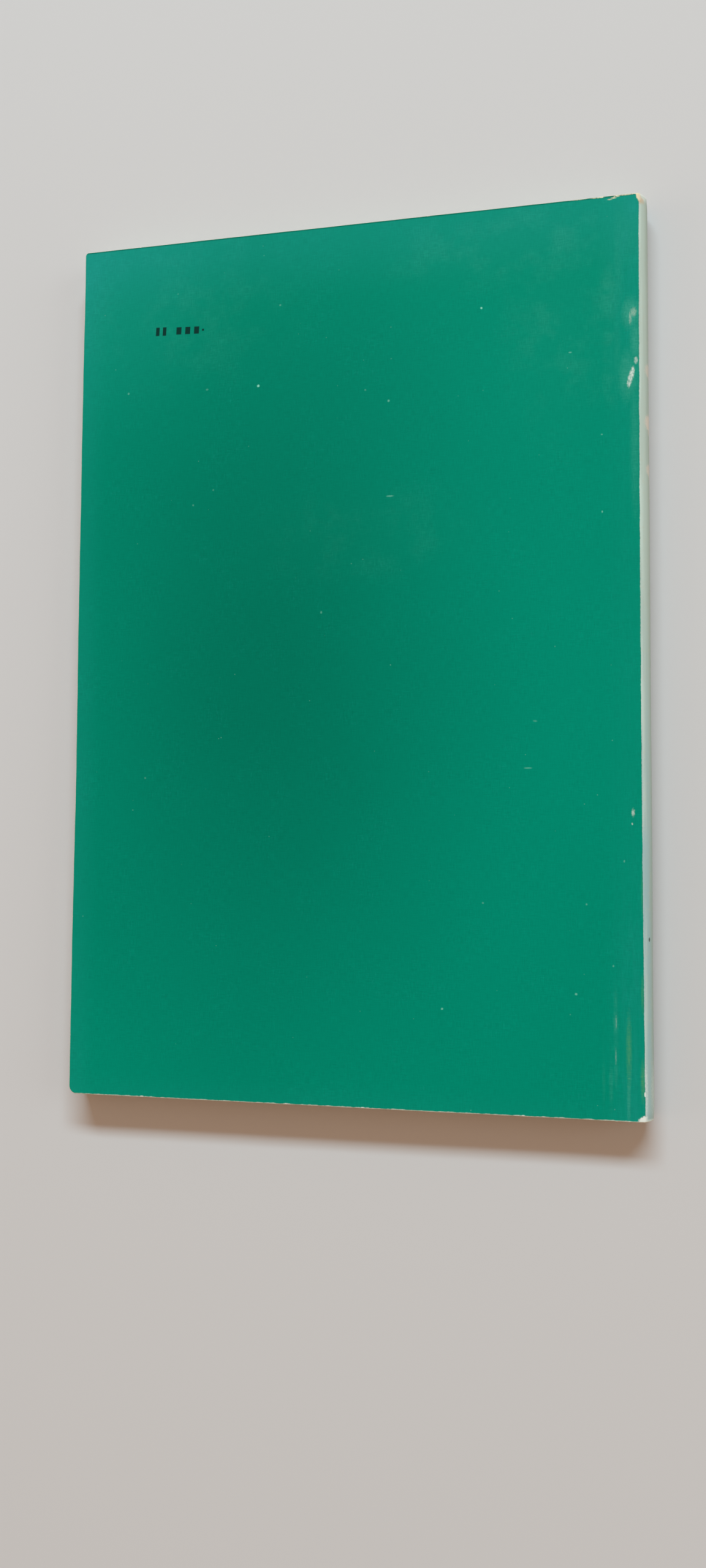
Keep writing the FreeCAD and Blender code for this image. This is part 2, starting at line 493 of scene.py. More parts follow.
# Small pale specks
SPECKS = [
    (-86.1, 63.8, 0.28, 0.26, 1.0),
    (-81.0, 82.5, 0.2, 0.2, 0.3),
    (-98.6, 63.9, 0.3, 0.2, 0.2),
    (-118.2, 64.4, 0.26, 0.22, 0.3),
    (-34.3, 77.4, 0.22, 0.2, 1.0),
    (-55.3, 57.9, 0.24, 0.24, 0.4),
    (-60.7, 60.8, 0.2, 0.2, 0.2),
    (-54.9, 36.0, 0.7, 0.16, 0.35),
    (-96.7, 39.9, 0.2, 0.2, 0.2),
    (-101.6, 36.6, 0.18, 0.2, 0.25),
    (-70.6, 10.2, 0.2, 0.26, 0.3),
    (-14.8, 65.6, 0.3, 0.14, 0.4),
    (-8.1, 46.8, 0.18, 0.14, 0.35),
    (-8.1, 29.8, 0.15, 0.22, 0.5),
    (-22.6, -15.4, 0.4, 0.18, 0.2),
    (-24.2, -25.6, 0.8, 0.13, 0.35),
    (-112.4, -27.0, 0.2, 0.2, 0.2),
    (-3.9, -45.6, 0.16, 0.22, 0.3),
    (-33.9, -54.8, 0.2, 0.18, 0.25),
    (-11.8, -54.8, 0.18, 0.18, 0.3),
    (-6.3, -67.7, 0.16, 0.2, 0.3),
    (-14.1, -73.8, 0.24, 0.22, 0.5),
    (-42.8, -77.8, 0.22, 0.2, 0.6),
]

# Rubbed thin, so that the card shows through the ink as a pale haze
HAZY_SPOTS = [
    (-2.4, 59.4, 1.7, 4.2, 0.42),
    (-1.8, 73.2, 1.5, 2.6, 0.55),
    (-0.9, 67.0, 0.9, 4.0, 0.4),
    (-6.6, 84.0, 2.4, 12.0, 0.2),
    (-6.2, 64.0, 1.6, 9.0, 0.2),
    (-17.0, 74.0, 9.0, 20.0, 0.12),
    (-24.0, 91.0, 24.0, 7.0, 0.13),
    (-5.9, -83.0, 0.4, 7.0, 0.42),
    (-3.3, -95.5, 0.3, 4.5, 0.36),
    (-6.9, -92.0, 0.35, 7.5, 0.18),
    (-8.4, -90.0, 0.3, 8.0, 0.1),
    (-1.1, 44.0, 0.8, 12.0, 0.2),
    (-60.0, 28.0, 18.0, 8.0, 0.07),
    (-104.0, 84.0, 20.0, 14.0, 0.08),
]

# Yellowed where the ink is cracked
YELLOW_SPOTS = [
    (-3.2, -85.2, 0.45, 5.6, 0.5),
    (-3.2, -84.2, 0.28, 3.2, 0.6),
    (-0.4, -91.5, 0.35, 3.2, 0.6),
    (-0.35, -73.5, 0.25, 3.0, 0.4),
    (-0.3, -52.0, 0.2, 4.0, 0.25),
]

# Peeled places in the upper half of the spine, and worn or marked ones nearer its ends
PEELED_SPOTS = [
    (3.8, 61.0, 2.0, 1.5, 0.6),
    (4.7, 59.8, 1.3, 1.0, 0.5),
    (3.9, 49.4, 2.3, 1.8, 0.85),
    (4.8, 47.9, 1.8, 1.2, 0.7),
    (3.7, 39.0, 1.8, 1.3, 0.65),
    (4.3, 37.6, 1.2, 0.9, 0.45),
]
WHITENED = [
    (0.25, -94.0, 0.5, 6.0, 0.6),
    (4.2, -94.0, 2.0, 6.0, 0.45),
    (1.0, 99.8, 2.6, 1.1, 0.85),
]
STAINED = [(0.5, 98.5, 1.3, 0.75, 0.75)]
DIRTY = [(1.7, -62.1, 0.28, 0.42, 0.85)]

# The middle of the painted shade on the ink, and of the painted sheen in the fore-edge corner at the head,
# with their half sizes
PAINTED_SHADE_MIDDLE = ((-86.0, 0.0), (61.0, 112.0))
SHEEN_CORNER = ((-132.0, 106.0), (50.0, 64.0))

# A row of plain dark marks near the head: place along the row, half width and half height
MARKS_AT = (-105.5, 78.6)
MARKS_TURN = math.radians(-2.5)
MARKS = [
    (-5.6, 0.42, 1.0),
    (-3.9, 0.42, 1.0),
    (-0.3, 0.6, 0.85),
    (1.9, 0.6, 0.85),
    (4.1, 0.6, 0.85),
    (5.7, 0.22, 0.22),
]


def outward(look, place, centre, half):
    """How far out a place is from a centre, where 1 is the edge of an ellipse."""
    squeeze = (1 / half[0], 1 / half[1], 0)
    squeezed = look.node("ShaderNodeVectorMath", {0: place, 1: squeeze}, operation="MULTIPLY")
    origin = (centre[0] / half[0], centre[1] / half[1], 0)
    inputs = {0: squeezed.outputs[0], 1: origin}
    return look.node("ShaderNodeVectorMath", inputs, operation="DISTANCE").outputs["Value"]


def spots(look, place, table, ragged, soft):
    """The strongest of a table's spots at each place. ragged frays their outlines and soft blurs them."""
    masks = []
    for centre_u, centre_v, half_u, half_v, strength in table:
        out = look.sum(outward(look, place, (centre_u, centre_v), (half_u, half_v)), ragged)
        masks.append(look.times(look.step(out, 1 + soft, 1 - soft), strength))
    return look.most(*masks)


def plain_marks(look, place):
    """1 on the small dark marks, 0 elsewhere, with edges that bleed a little."""
    turned = look.node(
        "ShaderNodeMapping",
        {"Vector": place, "Location": (*MARKS_AT, 0), "Rotation": (0, 0, MARKS_TURN)},
        vector_type="TEXTURE",
    )
    along, above, _ = look.split(turned.outputs[0])
    shapes = []
    for centre, half_width, half_height in MARKS:
        beside = look.less(look.absolute(look.less(along, centre)), half_width)
        beyond = look.most(beside, look.less(look.absolute(above), half_height))
        shapes.append(look.step(beyond, 0.09, -0.05))
    return look.most(*shapes)


def cover_places(look):
    """Where a point lies on the unrolled sheet. w is counted like u, from the nearer fold."""
    sheet = look.node("ShaderNodeUVMap", uv_map=SHEET_MAP).outputs[0]
    u, v, _ = look.split(sheet)
    middle = SPINE_WIDTH_MM / 2
    side = look.math("SIGN", look.less(middle, u))
    w = look.less(middle, look.absolute(look.less(u, middle)))
    return SimpleNamespace(
        sheet=sheet,
        u=u,
        v=v,
        w=w,
        wear=look.place(w, look.times(v, side)),
        on_back=look.step(u, 0.5, -0.5),
        to_head=look.less(HALF_HEIGHT_MM, v),
        to_tail=look.sum(HALF_HEIGHT_MM, v),
        to_fore=look.sum(w, COVER_WIDTH_MM),
    )


def cover_grain(look, at):
    """The card's own grain, clearer in some places than in others, and what frays and breaks up the wear."""
    cloudy = look.noise(at.sheet, 0.09, detail=5.0, roughness=0.65)
    across = look.stretched(at.u, at.v, 5.5, 0.5, detail=3.0)
    along = look.stretched(at.u, at.v, 0.5, 5.5, detail=3.0, lift=7.0)
    fibre = look.less(look.times(look.sum(across, along), 0.5), 0.5)
    clearness = look.scaled(look.step(cloudy, 0.3, 0.7), 0.8, 0.5)
    flecked = look.most(
        look.step(look.stretched(at.u, at.v, 2.6, 0.7, detail=3.0, lift=21.0), 0.56, 0.72),
        look.step(look.stretched(at.u, at.v, 0.8, 2.6, detail=3.0, lift=27.0), 0.58, 0.74),
    )
    grit = look.noise(at.sheet, 3.5, detail=3.0)
    frayed = look.swing(look.noise(at.sheet, 2.4, detail=4.0, roughness=0.65), 1.4)
    streaks = look.stretched(at.u, at.v, 6.5, 1.4, detail=5.0, lift=3.0)
    woven = look.step(look.most(across, along), 0.44, 0.74)
    return SimpleNamespace(
        cloudy=cloudy,
        fibre=look.times(fibre, clearness),
        flecked=look.times(flecked, look.step(cloudy, 0.42, 0.68)),
        grit=grit,
        jitter=look.swing(grit, 0.2),
        frayed=frayed,
        slightly=look.times(frayed, 0.6),
        streaky=look.scaled(look.step(streaks, 0.68, 0.36), 0.75, 0.25),
        thready=look.scaled(woven, 0.6, 0.4),
        patchy=look.scaled(look.step(cloudy, 0.44, 0.64), 0.85, 0.15),
    )


def past_ink_edge(look, at):
    """How far a place lies past the edge of the ink at the fold, which isn't quite straight."""
    height = look.times(at.v, 1 / HALF_HEIGHT_MM)
    bow = look.scaled(look.times(height, height), 0.3, -0.2)
    slow = look.swing(look.stretched(at.u, at.v, 0.0, 0.16), 0.3)
    fine = look.swing(look.stretched(at.u, at.v, 0.0, 1.8, detail=3.0), 0.2)
    return look.less(at.w, look.sum(bow, slow, fine))


def worn_edges(look, at, grain):
    """Ink worn off the tail edge as a thin pale line, and a little off the other two."""
    break_up = look.stretched(at.u, at.v, 0.55, 0.55, detail=4.0)
    near_spine = look.step(at.w, -17.0, -3.0)
    tail_width = look.scaled(look.step(break_up, 0.3, 0.8), 0.2, 0.04)
    head_width = look.times(look.step(break_up, 0.48, 0.75), look.scaled(near_spine, 0.2, 0.12))
    fore_width = look.times(look.step(break_up, 0.6, 0.8), 0.16)

    def worn(distance, width, blur):
        return look.step(look.sum(distance, grain.jitter), look.sum(width, blur), width)

    thinned = look.scaled(look.step(grain.grit, 0.35, 0.65), 0.35, 0.35)
    return look.most(
        look.times(worn(at.to_tail, tail_width, 0.16), thinned),
        worn(at.to_head, head_width, 0.08),
        worn(at.to_fore, fore_width, 0.08),
    )


def pale_specks(look, at, grain):
    """The specks of the table, and fainter ones strewn over the whole cover."""
    dust = look.node("ShaderNodeTexVoronoi", {"Vector": at.sheet, "Scale": 0.33, "Randomness": 1.0})
    chance = look.split(dust.outputs["Color"])[0]
    small = look.times(look.step(chance, 0.45, 1.0), 0.07)
    distance = look.sum(dust.outputs["Distance"], look.times(grain.frayed, 0.06))
    dusted = look.step(distance, small, 0.0)
    return look.most(spots(look, at.wear, SPECKS, grain.frayed, 0.5), look.times(dusted, 0.32))


def rubbed_haze(look, at, grain):
    """Places rubbed thin along the card's weave, and broken into patches away from the spine."""
    hazy = look.times(spots(look, at.wear, HAZY_SPOTS, grain.frayed, 0.8), grain.thready)
    far_in = look.step(at.w, -4.0, -6.0)
    return look.times(hazy, look.most(grain.patchy, look.less(1.0, far_in)))


def rub_and_sheen_of(look, at, grain):
    """How grey the ink is: rubbed in a band beside the spine and at the edges, with painted sheen along the
    head and in the fore-edge corner at the head.
    """
    rub_grain = look.stretched(at.u, at.v, 1.3, 0.12, detail=4.0, lift=11.0)
    rubbed = look.scaled(look.step(rub_grain, 0.3, 0.7), 0.5, 0.4)
    band = look.times(look.step(at.w, -9.0, -1.5), rubbed)
    toward_ends = look.scaled(look.step(look.absolute(at.v), 35.0, 95.0), 0.4, 0.15)
    # Painted sheen in the fore-edge corner at the head
    corner = look.step(outward(look, look.place(at.w, at.v), *SHEEN_CORNER), 1.0, 0.0)
    margins = look.sum(
        look.times(band, toward_ends),
        look.times(corner, 0.5),
        # Painted sheen along the head edge
        look.times(look.step(at.to_head, 19.0, 0.0), 0.45),
        look.times(look.step(at.to_fore, 7.0, 0.0), 0.25),
        look.times(look.step(at.to_tail, 6.0, 0.0), 0.12),
        look.times(grain.flecked, 0.2),
    )
    return look.times(margins, look.scaled(grain.cloudy, 0.9, 0.5), clamp=True)


def printed_green(look, at, grain, rub_and_sheen):
    """The ink with its slow changes of tone, painted shade and painted sheen, its haze, cracks and specks,
    and the marks near the head.
    """
    broad = look.noise(at.sheet, 0.02, detail=3.0)
    # Painted shade: darkest in the middle of the back cover and lighter towards its edges, with a random
    # change of tone on top
    from_painted_shade = outward(look, look.place(at.w, at.v), *PAINTED_SHADE_MIDDLE)
    tone = look.sum(look.step(from_painted_shade, 0.0, 1.25), look.swing(broad, 0.3))
    green = look.mix(look.times(tone, 1.0, clamp=True), GREEN_PAINTED_SHADE, GREEN_PAINTED_LIT)
    # Greyed where rubbed, with painted sheen along the head and in the fore-edge corner
    green = look.mix(look.times(rub_and_sheen, 0.85), green, GREEN_RUBBED_AND_SHEEN)
    shift = look.scaled(grain.fibre, 0.6, 1.0)
    green = look.node("ShaderNodeHueSaturation", {"Value": shift, "Color": green}).outputs[0]
    green = look.mix(look.times(look.step(at.to_head, 0.55, 0.2), 0.75), green, GREEN_DARK)
    green = look.mix(rubbed_haze(look, at, grain), green, GREEN_HAZE)
    yellowed = look.times(spots(look, at.wear, YELLOW_SPOTS, grain.frayed, 0.8), grain.thready)
    green = look.mix(yellowed, green, GREEN_YELLOWED)
    green = look.mix(pale_specks(look, at, grain), green, SPECK)
    return look.mix(look.times(plain_marks(look, at.sheet), at.on_back), green, PRINT_BLACK)


def bare_spine(look, at, grain):
    """Bare card of the spine: paler beside the folds, with grime and painted shade towards its middle, which
    turns away from the light, bluer towards the foot, frayed at both ends.
    """
    mottle = look.noise(at.sheet, 0.6, detail=5.0, roughness=0.6)
    grime = look.stretched(at.u, at.v, 0.9, 0.05, detail=4.0, lift=5.0)
    # Painted shade: darker from the folds in towards the middle of the spine
    painted_shade_in_from_fold = look.times(look.step(at.w, 1.2, 3.2), 0.6)
    grime_and_shade = look.sum(painted_shade_in_from_fold, look.times(look.step(grime, 0.4, 0.75), 0.4))
    worn_grain = look.step(look.sum(grime, grain.jitter), 0.4, 0.62)
    by_fold = look.times(look.step(at.w, 1.5, 0.2), worn_grain)
    to_end = look.math("MINIMUM", at.to_head, at.to_tail)
    end_fray = look.times(look.step(look.sum(to_end, grain.jitter), 0.8, 0.1), 0.8)
    whitened = look.times(spots(look, at.sheet, WHITENED, grain.frayed, 0.5), grain.streaky)
    stained = look.times(spots(look, at.sheet, STAINED, grain.frayed, 0.6), grain.streaky)

    spine = look.mix(look.step(at.v, 30.0, -60.0), SPINE_CARD, SPINE_BLUISH)
    # Grime in streaks, with painted shade towards the middle of the spine
    spine = look.mix(grime_and_shade, spine, SPINE_GRIME_AND_SHADE)
    spine = look.mix(look.times(by_fold, 0.65), spine, SPINE_WORN)
    spine = look.mix(look.times(look.step(mottle, 0.52, 0.75), 0.3), spine, SPINE_TANNED)
    spine = look.mix(spots(look, at.sheet, PEELED_SPOTS, grain.frayed, 0.3), spine, SPINE_PEELED)
    spine = look.mix(look.most(end_fray, whitened), spine, BARE_CARD)
    spine = look.mix(stained, spine, STAIN)
    return look.mix(spots(look, at.sheet, DIRTY, grain.slightly, 0.4), spine, DIRT)


def printed_cover():
    """Green ink over white card, rubbed at the edges, beside the spine and along its creases."""
    look = Look("printed_cover")
    at = cover_places(look)
    grain = cover_grain(look, at)
    rub_and_sheen = rub_and_sheen_of(look, at, grain)
    beyond = past_ink_edge(look, at)
    ink = look.step(beyond, 0.06, -0.06)

    # Bare of ink at the edges, and in scuffs, whose card is tanned near the head
    bare = look.most(worn_edges(look, at, grain), spots(look, at.wear, CHIPS, grain.slightly, 0.15))
    scuffed = look.times(spots(look, at.wear, BARE_SPOTS, grain.frayed, 0.5), grain.streaky)
    flaked = look.mix(look.step(at.v, 60.0, 92.0), BARE_CARD, BARE_TANNED)
    green = look.mix(scuffed, printed_green(look, at, grain, rub_and_sheen), flaked)

    # A thin dark line where the ink ends at the fold
    line = look.times(look.step(look.absolute(beyond), 0.18, 0.04), 0.55)
    broken = look.step(look.stretched(at.u, at.v, 0.2, 0.3, detail=3.0, lift=2.0), 0.36, 0.62)
    green = look.mix(look.times(line, broken), green, GREEN_DARK)

    inked = look.times(ink, look.less(1.0, bare))
    colour = look.mix(inked, bare_spine(look, at, grain), green)
    colour = look.mix(look.times(bare, look.step(at.w, 1.0, 0.0)), colour, flaked)

    height = look.sum(
        look.times(look.noise(at.sheet, 6.0, detail=3.0, roughness=0.6), 0.5),
        look.times(grain.fibre, 1.2),
        look.times(look.most(bare, scuffed), -1.0),
    )
    roughness = look.scaled(look.most(bare, scuffed, rub_and_sheen), 0.25, 0.52)
    return look.finish(colour, roughness, look.bump(height, 0.02 * MM, 0.5), specular=0.02)


def plain_card(name, colour, dark):
    """The unprinted side of the cover, and its cut edge."""
    look = Look(name)
    sheet = look.node("ShaderNodeUVMap", uv_map=SHEET_MAP).outputs[0]
    cloud = look.noise(sheet, 0.03, detail=5.0, roughness=0.6)
    flecks = look.noise(sheet, 1.5, detail=3.0)
    shade = look.sum(look.times(cloud, 0.5), look.times(flecks, 0.5))
    mixed = look.mix(look.step(shade, 0.3, 0.75), colour, dark)
    return look.finish(mixed, 0.85, look.bump(flecks, 0.02 * MM, 0.6), specular=0.2)


def leaf_edges():
    """Aged book paper seen from its trimmed edges, where each leaf has its own tone."""
    look = Look("leaf_edges")
    at = look.node("ShaderNodeTexCoord").outputs["Object"]
    x, y, z = look.split(at)
    cloud = look.noise(at, 45.0, detail=5.0, roughness=0.6)
    leaf = look.noise(look.place(0.0, 0.0, look.times(z, 6000.0)), 1.0, detail=4.0, roughness=0.7)
    drawn_out = look.place(look.times(x, 90.0), look.times(y, 90.0), look.times(z, 9000.0))
    broken = look.noise(drawn_out, 1.0, detail=3.0)
    shade = look.sum(look.times(leaf, 0.5), look.times(broken, 0.3), look.times(cloud, 0.2))
    colour = look.mix(look.step(shade, 0.36, 0.62), *LEAF_EDGES)
    return look.finish(colour, 0.9, look.bump(shade, 0.02 * MM, 0.7), specular=0.15)


def leaf_face():
    """Aged book paper of an outer leaf, tanned towards its three trimmed edges."""
    look = Look("leaf_face")
    at = look.node("ShaderNodeTexCoord").outputs["Object"]
    x, y, _ = look.split(at)
    cloud = look.noise(at, 45.0, detail=5.0, roughness=0.6)
    grain = look.noise(at, 2500.0, detail=3.0)
    from_fore = look.step(x, FORE_X, FORE_X + 20 * MM)
    from_end = look.step(look.absolute(y), HALF_HEIGHT, HALF_HEIGHT - 16 * MM)
    inner = look.scaled(look.times(from_fore, from_end), 0.8, look.times(cloud, 0.3), clamp=True)
    colour = look.mix(inner, *LEAF_FACE)
    shade = look.sum(grain, look.times(cloud, 0.5))
    return look.finish(colour, 0.9, look.bump(shade, 0.015 * MM, 0.5), specular=0.15)


def dried_glue():
    """Yellowed bookbinder's glue."""
    look = Look("dried_glue")
    at = look.node("ShaderNodeTexCoord").outputs["Object"]
    lumps = look.noise(at, 900.0, detail=4.0, roughness=0.6)
    return look.finish(look.mix(lumps, *GLUE), 0.45, look.bump(lumps, 0.05 * MM), specular=0.4)


# The pieces


def cover_grid(edge, end):
    """reach and y of the points of one cover, whose fore-edge corners are round."""
    creased_to = FOLD_REACH + 8.4 * MM
    fore_from = edge - 4 * MM
    reach_lines = spaced(
        (FOLD_REACH, creased_to, 0.2 * MM),
        (creased_to, fore_from, 2.0 * MM),
        (fore_from, edge, EDGE_STEP),
    )
    reach, y = np.meshgrid(reach_lines, from_tail_to_head(end, 1.0 * MM), indexing="ij")
    for corner, sign in CORNERS:
        radius = corner - RIM_ROUNDING
        across, along = round_corner(reach - (edge - radius), sign * y - (end - radius), radius)
        reach = edge - radius + across
        y = sign * (end - radius + along)
    return reach, y


def out_of_cover(reach, y, edge, end):
    """Unit directions out of a cover at its rim, none at the fold."""
    out_reach = np.zeros_like(reach)
    out_y = np.zeros_like(y)
    out_reach[-1, :] = 1
    out_y[:, 0] = -1
    out_y[:, -1] = 1
    for corner, sign in CORNERS:
        radius = corner - RIM_ROUNDING
        across = reach - (edge - radius)
        along = sign * y - (end - radius)
        at_corner = (across > TINY) & (along > TINY)
        length = np.maximum(np.hypot(across, along), TINY)
        out_reach = np.where(at_corner, across / length, out_reach)
        out_y = np.where(at_corner, sign * along / length, out_y)
    return out_reach, out_y


def rim_layers(reach, y, out_reach, out_y, outer_depth, inner_depth):
    """Lines along the card's cut edge, rounded at its printed side and at its inner side.

    out_reach and out_y are the directions out of the sheet. The depths are how far each side is pressed in.
    """
    rim = rim_of(*reach.shape)
    rounding = []
    for turn in (45, 90):
        angle = math.radians(turn)
        rounding.append((RIM_ROUNDING * math.sin(angle), RIM_ROUNDING * (1 - math.cos(angle))))
    lines = [(out, outer_depth[rim] + down) for out, down in rounding]
    lines += [(out, inner_depth[rim] + (CARD - down)) for out, down in reversed(rounding)]
    return [(reach[rim] + out * out_reach[rim], y[rim] + out * out_y[rim], depth) for out, depth in lines]


def wrap_mesh(name, layers, shape, side, materials):
    """A solid from layers of (reach, y, depth). The first and the last are whole grids, the others rims."""
    reach = np.concatenate([np.ravel(layer[0]) for layer in layers])
    y = np.concatenate([np.ravel(layer[1]) for layer in layers])
    depth = np.concatenate([np.ravel(layer[2]) for layer in layers])
    x, z = on_wrap(side * reach, depth)
    faces, kinds = closed_layers(len(layers) - 2, *shape)

    # Wound the other way on this side, so that every face looks outwards
    if side > 0:
        faces = faces[:, ::-1]
    sheet = np.stack([(FOLD_REACH - side * reach) / MM, y / MM], axis=1)
    return new_mesh(name, np.stack([x, y, z], axis=1), faces, kinds, materials, sheet)


def cover_sheet(name, side, materials, seed):
    """A free cover with the strip beside its fold: the back cover for side 1, the front one for side -1."""
    edge = FORE_REACH - RIM_ROUNDING
    end = HALF_HEIGHT - RIM_ROUNDING
    reach, y = cover_grid(edge, end)
    out_reach, out_y = out_of_cover(reach, y, edge, end)

    # Hand-worn edges wander a little, always inwards
    fore_wander = FORE_WANDER * (ripple(y, seed, (61 * MM, 23 * MM, 9 * MM)) - 1) - trimmed_in(y)
    end_wander = END_WANDER * (ripple(reach, seed + 1, (47 * MM, 19 * MM, 7 * MM)) - 1)
    near_fore = fading(edge - reach, WANDER_ZONE) ** 2
    near_end = fading(end - np.abs(y), WANDER_ZONE) ** 2
    reach = reach + fore_wander * near_fore
    y = y + np.sign(y) * end_wander * near_end

    # Cockled card, and the two creases of the opened cover
    sag = COVER_SAG * cockle(reach, y, seed + 2, 70 * MM) * growing(reach - FOLD_REACH, 12 * MM)
    score = np.zeros_like(reach)
    for distance, depth in CREASES:
        score = np.maximum(score, depth * hollow(reach - FOLD_REACH - distance, CREASE_WIDTH))

    layers = [(reach, y, sag + score)]
    layers += rim_layers(reach, y, out_reach, out_y, sag, sag)
    layers.append((reach, y, sag + CARD))
    return wrap_mesh(name, layers, reach.shape, side, materials)


def spine_sheet(materials):
    """The card round the spine, from fold to fold."""
    end = HALF_HEIGHT - RIM_ROUNDING
    reach_lines = spaced((-FOLD_REACH, FOLD_REACH, 0.16 * MM))
    reach, y = np.meshgrid(reach_lines, from_tail_to_head(end, 1.0 * MM), indexing="ij")
    wander = SPINE_END_WANDER * (ripple(reach, SPINE_SEED, (5 * MM, 2.3 * MM)) - 1)
    y = y + np.sign(y) * wander * fading(end - np.abs(y), SPINE_WANDER_ZONE)
    inside = growing(FOLD_REACH - np.abs(reach), 1.5 * MM)
    dent = SPINE_DENT * cockle(reach * 4, y, SPINE_DENT_SEED, 38 * MM) * inside
    knock = KNOCKED_END * hollow(end - np.abs(y), 1.2 * MM) * inside
    depth = dent + knock

    level = np.zeros_like(reach)
    out_y = np.zeros_like(y)
    out_y[:, 0] = -1
    out_y[:, -1] = 1
    layers = [(reach, y, depth)]
    layers += rim_layers(reach, y, level, out_y, depth, level)
    layers.append((reach, y, np.full_like(reach, CARD)))
    return wrap_mesh("spine_card", layers, reach.shape, 1, materials)


def glue_film(materials):
    """The glue between the card and the leaves, a little short of the ends."""
    reach_lines = spaced((-FOLD_REACH - GLUE_WIDTH, FOLD_REACH + GLUE_WIDTH, 0.3 * MM))
    y_lines = spaced((-HALF_HEIGHT, HALF_HEIGHT, 2.5 * MM))
    reach, y = np.meshgrid(reach_lines, y_lines, indexing="ij")
    short = GLUE_SHORT + GLUE_WANDER * ripple(reach, GLUE_SEED, (2.1 * MM, 0.9 * MM))
    y = np.sign(y) * (np.abs(y) - short * (np.abs(y) > HALF_HEIGHT - 1 * MM))
    on_spine = growing(FOLD_REACH + 0.5 * MM - np.abs(reach), 1 * MM)
    thick = GLUE_SIDE + (GLUE_SPINE - GLUE_SIDE) * on_spine
    depth = np.full_like(reach, CARD + GLUE_CLEARANCE)
    layers = [(reach, y, depth), (reach, y, depth + thick - 2 * GLUE_CLEARANCE)]
    return wrap_mesh("glue_film", layers, reach.shape, 1, materials)


def back_of_leaves(z):
    """x of the rounded back of the leaves at a height z."""
    radius = SPINE_RADIUS - CARD - GLUE_SPINE - LEAF_GAP
    rise = np.minimum(np.abs(z - MID_Z), MID_Z - CARD)
    return SPINE_CENTRE_X + np.sqrt(radius**2 - rise**2)


def leaf_grid():
    """How far in from the fore edge, and how far up, the points of one leaf lie, with its corners round."""
    depth_x = FOLD_X - FORE_X
    fore_to = 3 * MM
    back_from = depth_x - 6 * MM
    x_lines = spaced((0, fore_to, EDGE_STEP), (fore_to, back_from, 2.4 * MM), (back_from, depth_x, 1 * MM))
    across, y = np.meshgrid(x_lines, from_tail_to_head(HALF_HEIGHT, 2.6 * MM), indexing="ij")
    for radius, sign in CORNERS:
        from_centre = sign * y - (HALF_HEIGHT - radius)
        out, along = round_corner(radius - across, from_centre, radius)
        across = radius - out
        y = sign * (HALF_HEIGHT - radius + along)
    return across / depth_x, y


def leaf_stack(materials):
    """All the leaves as one closed solid, whose trimmed edges show each leaf as a ridge."""
    low_z = CARD + SAG_ROOM
    high_z = THICKNESS - CARD - SAG_ROOM
    leaf = (high_z - low_z) / LEAF_COUNT
    share, y = leaf_grid()

    def layer(height, inset, rim):
        """Points at one height. inset holds how far in the fore edge, the head and the tail lie."""
        part, at_y = (share[rim], y[rim]) if rim else (share, y)
        fore, head, tail = inset
        level = (height - low_z) / (high_z - low_z)
        start = FORE_X + fore + trimmed_in(at_y)
        x = start + part * (back_of_leaves(height) - start)
        new_y = at_y * (1 - np.where(at_y > 0, head, tail) / HALF_HEIGHT)
        wave = LEAF_WAVE * ripple(x + 0.7 * at_y, LEAF_SEED, (83 * MM, 31 * MM, 12 * MM))
        return np.stack([x, new_y, height + wave * math.sin(math.pi * level)], axis=-1).reshape(-1, 3)

    # Each leaf lies in a little from the trimmed edges, and a few of them lie in further
    chance = np.random.RandomState(INSET_SEED)
    insets = chance.uniform(*INSET_MM, (LEAF_COUNT, 3)) * MM
    loose = chance.uniform(0, 1, (LEAF_COUNT, 3)) > 1 - LOOSE_SHARE
    insets += loose * chance.uniform(*LOOSE_INSET_MM, (LEAF_COUNT, 3)) * MM

    rim = rim_of(*share.shape)
    points = [layer(high_z, insets[-1] + LEAF_GROOVE, None)]
    for number in range(LEAF_COUNT - 1, -1, -1):
        bottom = low_z + number * leaf
        points += [layer(bottom + part * leaf, insets[number], rim) for part in RIDGE]
        if number:
            between = np.maximum(insets[number], insets[number - 1]) + LEAF_GROOVE
            points.append(layer(bottom, between, rim))
    points.append(layer(low_z, insets[0] + LEAF_GROOVE, None))
    faces, kinds = closed_layers(len(points) - 2, *share.shape)
    slots = np.where(kinds == 1, 1, 0)
    return new_mesh("leaf_stack", np.concatenate(points), faces, slots, materials)


# Camera, light and floor


def add_camera():
    """The photograph's place and lens."""
    cover_middle = Vector((FOLD_X - COVER_WIDTH_MM * MM / 2, 0, THICKNESS))
    stand = cover_middle + Vector(CAMERA_STAND) * MM
    aim = cover_middle + Vector(CAMERA_AIM) * MM
    data = bpy.data.cameras.new("camera")
    data.lens = CAMERA_LENS
    data.sensor_width = CAMERA_SENSOR
    data.clip_start = NEAREST
    camera = bpy.data.objects.new("camera", data)
    bpy.context.scene.collection.objects.link(camera)
    back = (stand - aim).normalized()
    right = Vector((0, 1, 0)).cross(back).normalized()
    up = back.cross(right)
    turned_right = right * math.cos(CAMERA_ROLL) + up * math.sin(CAMERA_ROLL)
    turned_up = up * math.cos(CAMERA_ROLL) - right * math.sin(CAMERA_ROLL)
    axes = Matrix((turned_right, turned_up, back)).transposed()
    camera.matrix_world = Matrix.Translation(stand) @ axes.to_4x4()
    bpy.context.scene.camera = camera


def add_lamp(name, azimuth, elevation, width, height, power, colour):
    """A rectangular lamp that faces the book."""
    turn, rise = math.radians(azimuth), math.radians(elevation)
    away = Vector((math.sin(turn) * math.cos(rise), math.cos(turn) * math.cos(rise), math.sin(rise)))
    data = bpy.data.lights.new(name, "AREA")
    data.shape = "RECTANGLE"
    data.size = width
    data.size_y = height
    data.energy = power
    data.color = colour
    lamp = bpy.data.objects.new(name, data)
    bpy.context.scene.collection.objects.link(lamp)
    lamp.location = away * LAMP_DISTANCE
    lamp.rotation_euler = away.to_track_quat("Z", "Y").to_euler()


